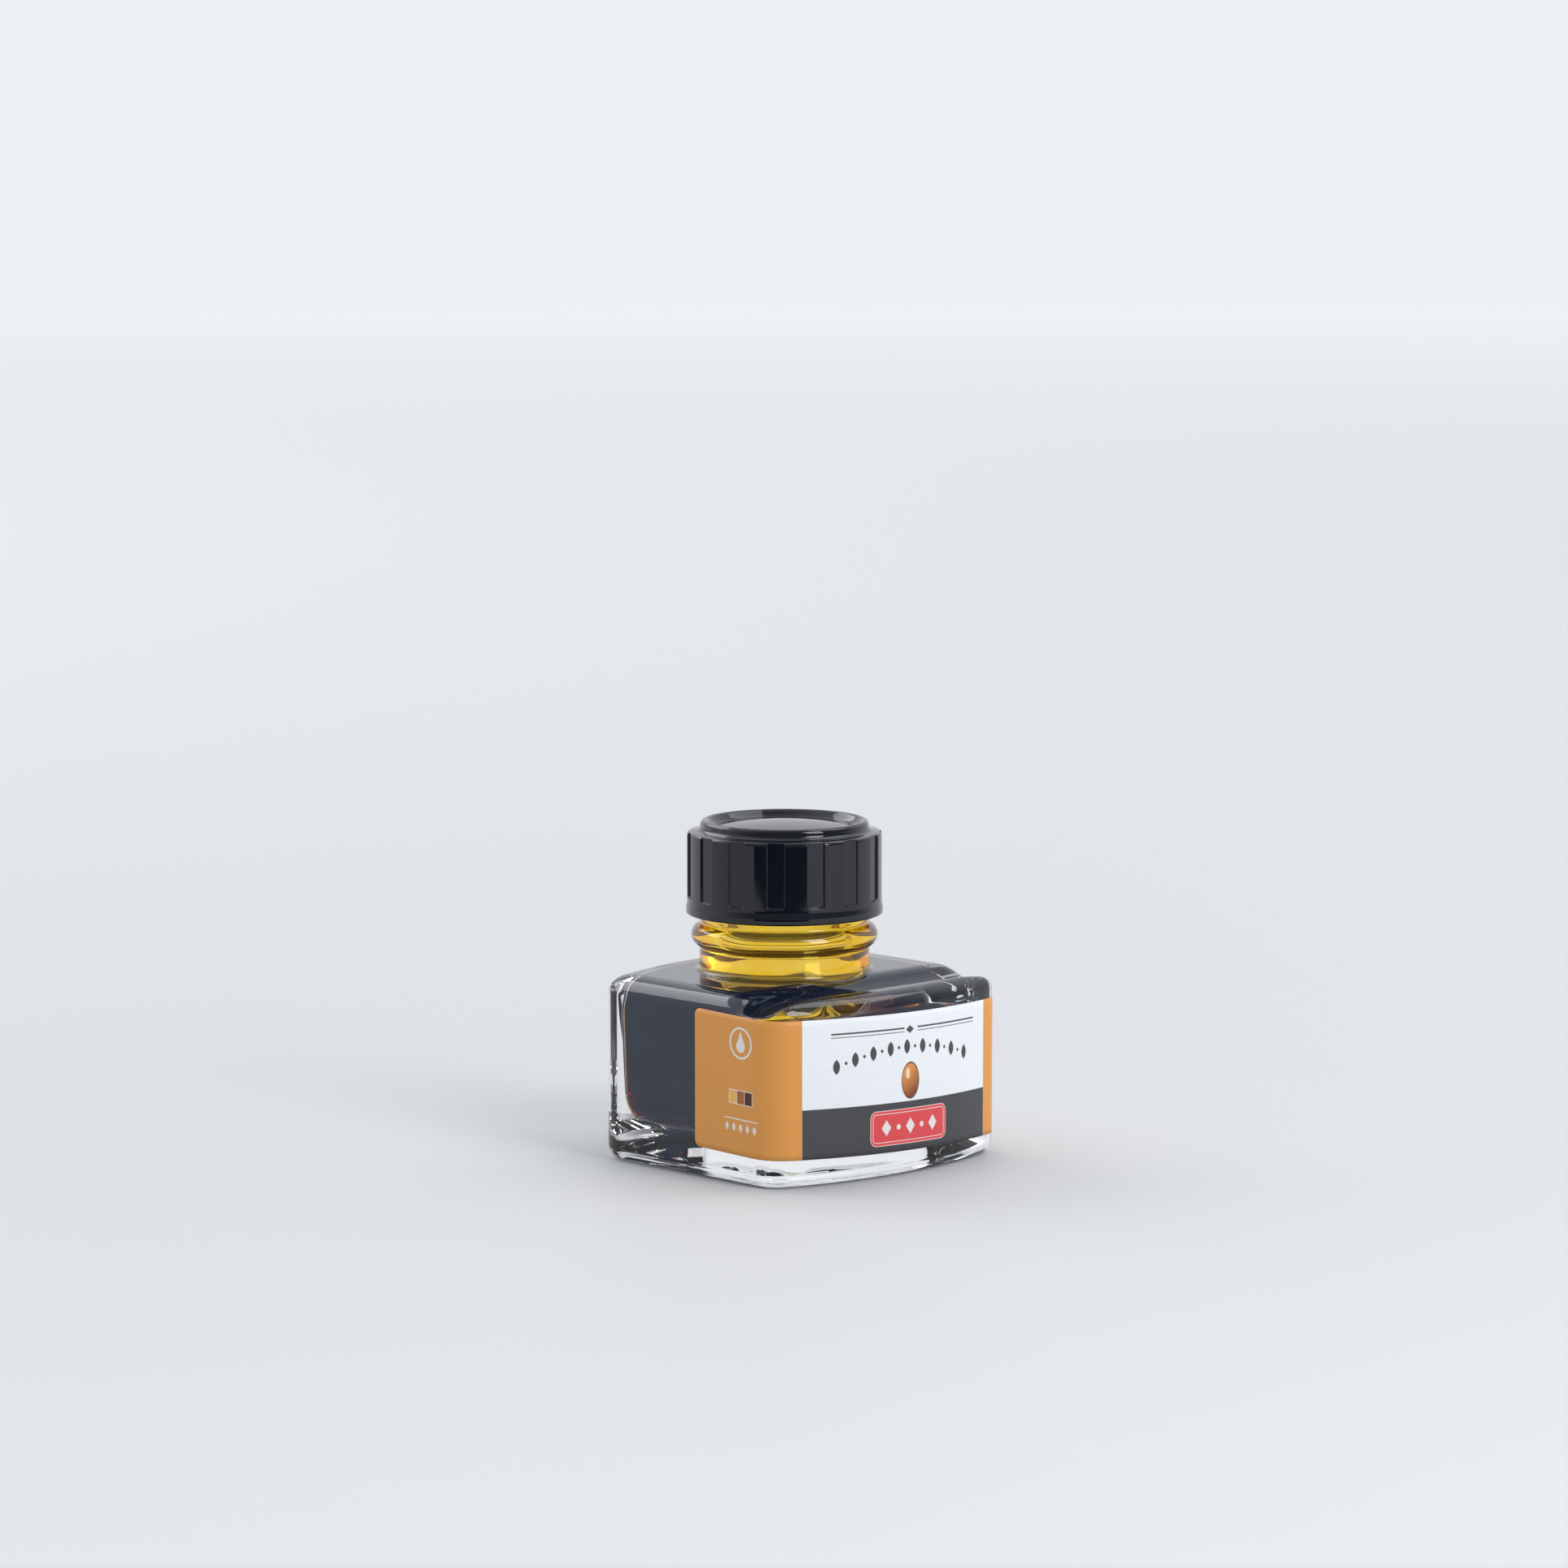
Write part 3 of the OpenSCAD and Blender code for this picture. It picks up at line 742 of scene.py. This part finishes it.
class Nodes:
    """A material's node tree, with short calls for the nodes used here."""

    def __init__(self, name):
        self.material = bpy.data.materials.new(name)
        self.material.use_nodes = True
        self.tree = self.material.node_tree
        self.shader = self.tree.nodes["Principled BSDF"]

    def add(self, kind, **settings):
        node = self.tree.nodes.new("ShaderNode" + kind)
        for key, value in settings.items():
            setattr(node, key, value)
        return node

    def link(self, out, socket):
        self.tree.links.new(out, socket)

    def feed(self, value, socket):
        if isinstance(value, bpy.types.NodeSocket):
            self.link(value, socket)
        else:
            socket.default_value = value

    def math(self, operation, a, b=0.0, clamp=False):
        node = self.add("Math", operation=operation, use_clamp=clamp)
        self.feed(a, node.inputs[0])
        self.feed(b, node.inputs[1])
        return node.outputs[0]

    def mix(self, factor, a, b):
        node = self.add("Mix", data_type="RGBA")
        self.feed(factor, node.inputs[0])
        self.feed(a, node.inputs[6])
        self.feed(b, node.inputs[7])
        return node.outputs[2]

    def noise(self, scale, detail=2.0, roughness=0.5, coordinates="Object"):
        place = self.add("TexCoord")
        node = self.add("TexNoise")
        node.inputs["Scale"].default_value = scale
        node.inputs["Detail"].default_value = detail
        node.inputs["Roughness"].default_value = roughness
        self.link(place.outputs[coordinates], node.inputs["Vector"])
        return node.outputs["Fac"]

    def spread(self, value, low, high, to_low, to_high):
        node = self.add("MapRange")
        for socket, number in zip(node.inputs[1:5], (low, high, to_low, to_high)):
            socket.default_value = number
        self.feed(value, node.inputs[0])
        return node.outputs[0]

    def bump(self, height, strength, distance, normal=None):
        node = self.add("Bump")
        node.inputs["Strength"].default_value = strength
        node.inputs["Distance"].default_value = distance
        self.link(height, node.inputs["Height"])
        if normal is not None:
            self.link(normal, node.inputs["Normal"])
        return node.outputs[0]

    def set(self, **values):
        for key, value in values.items():
            self.feed(value, self.shader.inputs[key.replace("_", " ")])


def glass_material(name, ior):
    n = Nodes(name)
    n.set(Base_Color=(0.992, 0.998, 0.995, 1), IOR=ior, Transmission_Weight=1.0, Roughness=0.0)
    return n.material


def liquid_material(name, colour, density, painted_glow_colour, painted_glow, cloud=0.0, cloud_colour=(1, 1, 1, 1)):
    """Liquid that takes light up. The glass that it wets bends the light, so its own surface doesn't.
    painted_glow is painted light, an even glow that stands in for light its colour solids scatter
    back, and cloud is how milky it is."""
    n = Nodes(name)
    n.set(Base_Color=cloud_colour, IOR=1.0, Transmission_Weight=1.0 - cloud, Roughness=0.0)
    # Painted light: the liquid glows evenly though it is no lamp, standing in for light scattered back
    n.set(Emission_Color=painted_glow_colour, Emission_Strength=painted_glow)
    volume = n.add("VolumeAbsorption")
    volume.inputs["Color"].default_value = colour
    volume.inputs["Density"].default_value = density
    n.link(volume.outputs[0], n.tree.nodes["Material Output"].inputs["Volume"])
    return n.material


def skin_material():
    n = Nodes("ink_surface")
    n.set(Base_Color=(1, 1, 1, 1), IOR=INK_IOR, Transmission_Weight=1.0, Roughness=0.0)
    return n.material


def cap_material():
    n = Nodes("black_cap_plastic")
    n.set(Base_Color=(0.006, 0.008, 0.014, 1), IOR=1.5)
    wear = n.noise(900.0, 4.0)
    blotch = n.noise(160.0, 2.0)
    haze = n.math("ADD", n.math("MULTIPLY", wear, 0.35), n.math("MULTIPLY", blotch, 0.65))
    n.set(Roughness=n.spread(haze, 0.35, 0.7, 0.03, 0.09))
    n.set(Normal=n.bump(wear, 0.06, 0.00001))
    return n.material


def foam_material():
    n = Nodes("white_foam")
    cells = n.noise(2600.0, 3.0)
    n.set(Base_Color=n.mix(cells, (0.80, 0.79, 0.76, 1), (0.93, 0.93, 0.91, 1)), Roughness=0.72)
    n.set(Normal=n.bump(cells, 0.4, 0.00005))
    return n.material


class LabelArt(Nodes):
    """Shapes printed on the label. u runs along it and v up it, in millimetres, and each shape is its
    distance from the edge, negative inside."""

    SOFT = 0.04

    def __init__(self, name):
        super().__init__(name)
        place = self.add("UVMap", uv_map="label_mm")
        split = self.add("SeparateXYZ")
        self.link(place.outputs[0], split.inputs[0])
        self.u = split.outputs[0]
        self.v = split.outputs[1]

    def mask(self, distance):
        """1 where distance is below 0."""
        return self.spread(distance, self.SOFT, -self.SOFT, 0.0, 1.0)

    def box_distance(self, u, v, half_u, half_v, round_r=0.0):
        du = self.math("ABSOLUTE", self.math("SUBTRACT", self.u, u))
        dv = self.math("ABSOLUTE", self.math("SUBTRACT", self.v, v))
        qu = self.math("SUBTRACT", du, half_u - round_r)
        qv = self.math("SUBTRACT", dv, half_v - round_r)
        pu = self.math("MAXIMUM", qu, 0.0)
        pv = self.math("MAXIMUM", qv, 0.0)
        squares = self.math("ADD", self.math("MULTIPLY", pu, pu), self.math("MULTIPLY", pv, pv))
        outer = self.math("SQRT", squares)
        inner = self.math("MINIMUM", self.math("MAXIMUM", qu, qv), 0.0)
        return self.math("SUBTRACT", self.math("ADD", outer, inner), round_r)

    def ellipse_distance(self, u, v, half_u, half_v):
        du = self.math("DIVIDE", self.math("SUBTRACT", self.u, u), half_u)
        dv = self.math("DIVIDE", self.math("SUBTRACT", self.v, v), half_v)
        squares = self.math("ADD", self.math("MULTIPLY", du, du), self.math("MULTIPLY", dv, dv))
        beyond = self.math("SUBTRACT", self.math("SQRT", squares), 1.0)
        return self.math("MULTIPLY", beyond, min(half_u, half_v))

    def lozenge_distance(self, u, v, half_u, half_v):
        du = self.math("ABSOLUTE", self.math("SUBTRACT", self.u, u))
        dv = self.math("ABSOLUTE", self.math("SUBTRACT", self.v, v))
        total = self.math("ADD", self.math("DIVIDE", du, half_u), self.math("DIVIDE", dv, half_v))
        return self.math("MULTIPLY", self.math("SUBTRACT", total, 1.0), 0.7 * min(half_u, half_v))

    def leaf_distance(self, u, v, half_u, half_v):
        """A seed with a point at each end, where two circles overlap."""
        r = (half_u**2 + half_v**2) / (2 * half_u)
        right = self.ellipse_distance(u - (r - half_u), v, r, r)
        left = self.ellipse_distance(u + (r - half_u), v, r, r)
        return self.math("MAXIMUM", right, left)

    def drop_distance(self, u, v, r, tip):
        """A drop with its round end at v and its tip above it."""
        du = self.math("ABSOLUTE", self.math("SUBTRACT", self.u, u))
        half_width = self.math("MULTIPLY", self.math("SUBTRACT", v + tip, self.v), r / tip)
        above = self.math("SUBTRACT", v + 0.35 * r, self.v)
        cone = self.math("MAXIMUM", self.math("SUBTRACT", du, half_width), above)
        return self.math("MINIMUM", self.ellipse_distance(u, v, r, r), cone)

    def grown(self, distance, by):
        return self.math("SUBTRACT", distance, by)

    def line(self, distance, half_width):
        """The line of a shape, instead of its fill."""
        return self.grown(self.math("ABSOLUTE", distance), half_width)

    def paint(self, mask, colour):
        """Print over what is there so far."""
        self.colour = self.mix(mask, self.colour, colour)

    def stamp(self, distance, colour):
        self.paint(self.mask(distance), colour)

    def rule(self, start, v, length, half_v, colour):
        """A level line with round ends, from start to the right."""
        self.stamp(self.box_distance(start + length / 2, v, length / 2, half_v, half_v), colour)


WHITE = (0.90, 0.925, 0.96, 1)
CHARCOAL = (0.062, 0.064, 0.068, 1)
ORANGE = (0.765, 0.320, 0.064, 1)
LIGHT_ORANGE = (0.825, 0.368, 0.082, 1)
RED = (0.78, 0.075, 0.085, 1)
PINK = (0.90, 0.62, 0.62, 1)
BLACK = (0.07, 0.07, 0.075, 1)
PALE = (0.86, 0.84, 0.81, 1)
STONE_EDGE = (0.09, 0.055, 0.04, 1)
STONE_DARK = (0.24, 0.065, 0.02, 1)
STONE_LIGHT = (0.80, 0.30, 0.07, 1)
STONE_SHINE = (0.93, 0.72, 0.48, 1)
STONE_HATCH = (0.16, 0.045, 0.015, 1)
TINTS = ((0.90, 0.52, 0.12, 1), (0.42, 0.13, 0.025, 1), (0.075, 0.02, 0.008, 1))
SCREEN_PITCH = 0.62
PANEL_MIDDLE = (PANEL_LEFT + PANEL_RIGHT) / 2
PANEL_HALF = (PANEL_RIGHT - PANEL_LEFT) / 2
STONE_U = 0.6
SIDE_U = -30.6


def print_ground(art):
    """Orange sides, printed as a fine diagonal screen, and a white front over a charcoal band."""
    along = art.math("SINE", art.math("MULTIPLY", art.u, TAU / SCREEN_PITCH))
    across = art.math("SINE", art.math("MULTIPLY", art.v, TAU / SCREEN_PITCH))
    dots = art.spread(art.math("MULTIPLY", along, across), -0.4, 0.6, 0.0, 1.0)
    art.colour = art.mix(dots, ORANGE, LIGHT_ORANGE)
    art.stamp(art.box_distance(PANEL_MIDDLE, LABEL_HEIGHT / 2, PANEL_HALF, LABEL_HEIGHT), WHITE)
    art.stamp(art.box_distance(PANEL_MIDDLE, 0.0, PANEL_HALF, BAND_H), CHARCOAL)


def print_garland(art):
    """A double rule with a lozenge in it, and under it an arched garland of seeds and dots."""
    length = 14.2
    space = 2.8
    left = PANEL_LEFT + 5.0
    for v, half_v in ((19.1, 0.13), (18.55, 0.06)):
        for start in (left, left + length + space):
            art.rule(start, v, length, half_v, BLACK)
    art.stamp(art.lozenge_distance(PANEL_MIDDLE + 0.6, 18.85, 0.85, 0.62), BLACK)
    for k in range(-8, 9):
        off = 1.72 * k
        v = 16.2 - 0.0115 * off**2
        if k % 2:
            shape = art.ellipse_distance(PANEL_MIDDLE + off, v, 0.26, 0.26)
        else:
            shape = art.leaf_distance(PANEL_MIDDLE + off, v, 0.62, 1.15)
        art.stamp(shape, BLACK)


def print_stone(art):
    """A polished amber stone, hatched on its right side."""
    stone = art.ellipse_distance(STONE_U, 10.9, 1.75, 2.65)
    art.stamp(art.grown(stone, 0.16), STONE_EDGE)
    slant = art.math("SUBTRACT", art.v, art.math("MULTIPLY", art.u, 0.5))
    shade = art.spread(slant, 8.2, 12.2, 0.0, 1.0)
    art.stamp(stone, art.mix(shade, STONE_DARK, STONE_LIGHT))
    art.stamp(art.ellipse_distance(STONE_U - 0.55, 12.0, 0.42, 0.85), STONE_SHINE)
    diagonal = art.math("MULTIPLY", art.math("ADD", art.u, art.v), TAU / 0.6)
    hatch = art.spread(art.math("SINE", diagonal), 0.2, 0.6, 0.0, 0.55)
    side = art.spread(art.u, STONE_U + 0.3, STONE_U + 1.3, 0.0, 1.0)
    hatched = art.math("MULTIPLY", art.math("MULTIPLY", hatch, side), art.mask(stone))
    art.paint(hatched, STONE_HATCH)


def print_plaque(art):
    """A plain red plaque with a line inside its edge and a row of lozenges and dots."""
    v = 3.85
    plaque = art.box_distance(STONE_U, v, 8.2, 2.75, 1.2)
    art.stamp(plaque, PINK)
    art.stamp(art.grown(plaque, -0.13), RED)
    art.stamp(art.line(art.grown(plaque, -0.55), 0.05), PALE)
    for k in range(-2, 3):
        u = STONE_U + 2.5 * k
        if k % 2:
            art.stamp(art.ellipse_distance(u, v, 0.42, 0.42), PALE)
        else:
            art.stamp(art.lozenge_distance(u, v, 0.95, 1.25), PALE)


def print_side(art):
    """On the left side, a drop in a ring over swatches of the ink's tints, a rule and a row of seeds."""
    art.stamp(art.line(art.ellipse_distance(SIDE_U, 17.4, 2.3, 2.3), 0.16), PALE)
    art.stamp(art.drop_distance(SIDE_U, 16.9, 0.95, 2.4), PALE)
    art.stamp(art.box_distance(SIDE_U, 9.0, 2.62, 1.12), PALE)
    for k, tint in enumerate(TINTS):
        art.stamp(art.box_distance(SIDE_U + 1.7 * (k - 1), 9.0, 0.80, 1.0), tint)
    art.rule(SIDE_U - 3.6, 5.6, 7.2, 0.09, PALE)
    for k in range(-2, 3):
        art.stamp(art.leaf_distance(SIDE_U + 1.5 * k, 4.3, 0.34, 0.62), PALE)


def label_material():
    art = LabelArt("printed_label")
    print_ground(art)
    print_garland(art)
    print_stone(art)
    print_plaque(art)
    print_side(art)
    fibre = art.noise(1500.0, 4.0)
    tone = art.mix(art.spread(fibre, 0.3, 0.7, 0.0, 1.0), (0.965, 0.965, 0.965, 1), (1, 1, 1, 1))
    printed = art.add("Mix", data_type="RGBA", blend_type="MULTIPLY")
    printed.inputs[0].default_value = 1.0
    art.link(art.colour, printed.inputs[6])
    art.link(tone, printed.inputs[7])
    art.set(Base_Color=printed.outputs[2], IOR=1.45)
    art.set(Roughness=art.spread(fibre, 0.3, 0.7, 0.40, 0.52))
    art.set(Normal=art.bump(fibre, 0.25, 0.00003))
    return art.material


def floor_material():
    """Pale paper that glows more and more away from the bottle: painted light that brightens the far
    floor as a lit studio sweep is.
    """
    n = Nodes("pale_floor")
    place = n.add("TexCoord")
    length = n.add("VectorMath", operation="LENGTH")
    n.link(place.outputs["Object"], length.inputs[0])
    far = n.spread(length.outputs["Value"], 0.12, 2.4, 0.0, 1.0)
    n.set(Base_Color=FLOOR_COLOUR, Roughness=0.6, Emission_Color=FLOOR_COLOUR)
    # Painted light: the floor glows, from nothing near the bottle to full strength 2.4 m away
    n.set(Emission_Strength=n.math("MULTIPLY", far, FAR_PAINTED_GLOW))
    n.shader.inputs["Specular IOR Level"].default_value = 0.2
    return n.material


# ---------------------------------------------------------------------------------------------
# The model
# ---------------------------------------------------------------------------------------------


def place(piece, material, body, slot, *nodes):
    piece.data.materials.clear()
    piece.data.materials.append(material)
    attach(piece, body)
    if nodes:
        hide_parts(*nodes)
    return piece


INK_COLOUR = (0.935, 0.80, 0.0, 1)
INK_DENSITY = 6500.0
# Painted light: a faint blue glow on the dark ink, standing in for a bluish cast on its body
INK_PAINTED_GLOW = (0.15, 0.4, 1.0, 1)
FILM_COLOUR = (1.0, 0.87, 0.0, 1)
FILM_DENSITY = 9000.0
# Painted light: a faint amber glow that brightens the film of ink in the neck
FILM_PAINTED_GLOW = (1.0, 0.58, 0.02, 1)
FILM_CLOUD = (1.0, 0.94, 0.65, 1)
dark_ink = liquid_material("dark_ink", INK_COLOUR, INK_DENSITY, INK_PAINTED_GLOW, 0.025)
amber_film = liquid_material(
    "amber_film", FILM_COLOUR, FILM_DENSITY, FILM_PAINTED_GLOW, 0.015, cloud=0.02, cloud_colour=FILM_CLOUD
)
clear_glass = glass_material("clear_glass", GLASS_IOR)
wetted_glass = glass_material("wetted_glass", GLASS_IOR / INK_IOR)
mark_wet_faces(place(glass_bottle(), clear_glass, "bottle", "glass", "glass_bottle"), wetted_glass)
place(ink(), dark_ink, "bottle", "ink", "ink")
place(ink_film(), amber_film, "bottle", "ink")
place(ink_skin(), skin_material(), "bottle", "ink")
place(wrap_label(), label_material(), "bottle", "label", "wrap_label")
place(screw_cap(), cap_material(), "cap", "cap", "screw_cap")
place(seal_disc(), foam_material(), "lift", "seal", "seal_disc")

# ---------------------------------------------------------------------------------------------
# Floor, light and camera
# ---------------------------------------------------------------------------------------------

FLOOR_HALF = 60000.0
FLOOR_COLOUR = (0.604, 0.613, 0.627, 1)
# Strength of the floor's painted glow far from the bottle
FAR_PAINTED_GLOW = 0.62
SKY_COLOUR = (0.936, 0.956, 1.0, 1)
SKY_DARK = 0.26
SKY_LOW = 0.88
SKY_HIGH = 1.1
# Directions across the floor, as the camera sees them
AWAY = Vector((0.6898, 0.7240, 0.0))
RIGHT = Vector((0.7240, -0.6898, 0.0))
# The camera, placed from the neck's axis
EYE_X = -693.4
EYE_Y = -727.6
EYE_H = 185.85
LOOK = (0.68434, 0.71820, -0.12599)


def flat_sheet(name, corners, z, material):
    piece = mesh_object(name, [(c.x, c.y, z) for c in corners], [[0, 1, 2, 3]], smooth=False)
    piece.data.materials.append(material)
    return piece


def floor():
    corners = [Vector((x, y, 0)) * FLOOR_HALF for x, y in [(-1, -1), (1, -1), (1, 1), (-1, 1)]]
    flat_sheet("floor", corners, 0, floor_material())


def dark_reflection_sheet():
    """A dark sheet in front of the bottle, seen only in reflections: a painted dark reflection that
    keeps the cap's front black.
    """
    n = Nodes("painted_dark_reflection")
    n.set(Base_Color=(0.004, 0.004, 0.005, 1), Roughness=1.0)
    n.shader.inputs["Specular IOR Level"].default_value = 0.0
    near = AWAY * -262
    far = AWAY * -6000
    corners = [near - RIGHT * 190, near + RIGHT * 150, far + RIGHT * 3000, far - RIGHT * 4200]
    dark_sheet = flat_sheet("painted_dark_reflection", corners, 0.5, n.material)
    # Painted reflection: the camera, diffuse light and shadows all pass through this sheet
    dark_sheet.visible_camera = False
    dark_sheet.visible_diffuse = False
    dark_sheet.visible_transmission = False
    dark_sheet.visible_shadow = False


def softbox(name, bearing, height_angle, distance, width, height, radiance, colour):
    """A soft light aimed at the bottle. bearing is in degrees, anticlockwise from +X."""
    light = bpy.data.lights.new(name, "AREA")
    light.shape = "RECTANGLE"
    light.size = width
    light.size_y = height
    light.energy = radiance * math.pi * width * height
    light.color = colour
    lamp = bpy.data.objects.new(name, light)
    bpy.context.scene.collection.objects.link(lamp)
    up = math.radians(height_angle)
    turn = math.radians(bearing)
    out = Vector((math.cos(up) * math.cos(turn), math.cos(up) * math.sin(turn), math.sin(up)))
    lamp.location = out * distance + Vector((0, 0, 0.02))
    lamp.rotation_euler = (-out).to_track_quat("-Z", "Y").to_euler()
    return lamp


def world():
    """Bright behind the bottle and to the left, dark on the side that it is seen from."""
    sky = bpy.data.worlds.new("soft_studio")
    sky.use_nodes = True
    tree = sky.node_tree
    direction = tree.nodes.new("ShaderNodeTexCoord").outputs["Generated"]

    def ramp(value, low, high, to_low, to_high):
        node = tree.nodes.new("ShaderNodeMapRange")
        node.interpolation_type = "SMOOTHSTEP"
        for socket, number in zip(node.inputs[1:5], (low, high, to_low, to_high)):
            socket.default_value = number
        tree.links.new(value, node.inputs[0])
        return node.outputs[0]

    behind = tree.nodes.new("ShaderNodeVectorMath")
    behind.operation = "DOT_PRODUCT"
    behind.inputs[1].default_value = AWAY * 0.93 - RIGHT * 0.36
    tree.links.new(direction, behind.inputs[0])
    split = tree.nodes.new("ShaderNodeSeparateXYZ")
    tree.links.new(direction, split.inputs[0])
    both = tree.nodes.new("ShaderNodeMath")
    both.operation = "MULTIPLY"
    tree.links.new(ramp(behind.outputs["Value"], -0.55, 0.35, SKY_DARK, 1.0), both.inputs[0])
    tree.links.new(ramp(split.outputs[2], 0.10, 0.60, SKY_LOW, SKY_HIGH), both.inputs[1])
    shade = tree.nodes["Background"]
    shade.inputs["Color"].default_value = SKY_COLOUR
    tree.links.new(both.outputs[0], shade.inputs["Strength"])
    bpy.context.scene.world = sky


def camera():
    lens_camera = bpy.data.cameras.new("camera")
    lens_camera.lens = 149.2
    lens_camera.sensor_width = 36.0
    lens_camera.clip_end = 200.0
    eye = bpy.data.objects.new("camera", lens_camera)
    bpy.context.scene.collection.objects.link(eye)
    eye.location = Vector((EYE_X, EYE_Y + NECK_Y, EYE_H)) * MM
    eye.rotation_euler = Vector(LOOK).to_track_quat("-Z", "Y").to_euler()
    bpy.context.scene.camera = eye


floor()
dark_reflection_sheet()
world()
softbox("front_window", -88, 34, 1.2, 0.45, 0.8, 6.6, (0.98, 0.99, 1.0))
softbox("back_window", 100, 36, 1.6, 1.3, 0.7, 2.6, (0.97, 0.985, 1.0))
softbox("right_key", -25, 58, 1.3, 0.7, 0.7, 2.0, (1.0, 1.0, 1.0))
camera()

scene = bpy.context.scene
scene.view_settings.view_transform = "Standard"
scene.cycles.max_bounces = 24
scene.cycles.transmission_bounces = 24
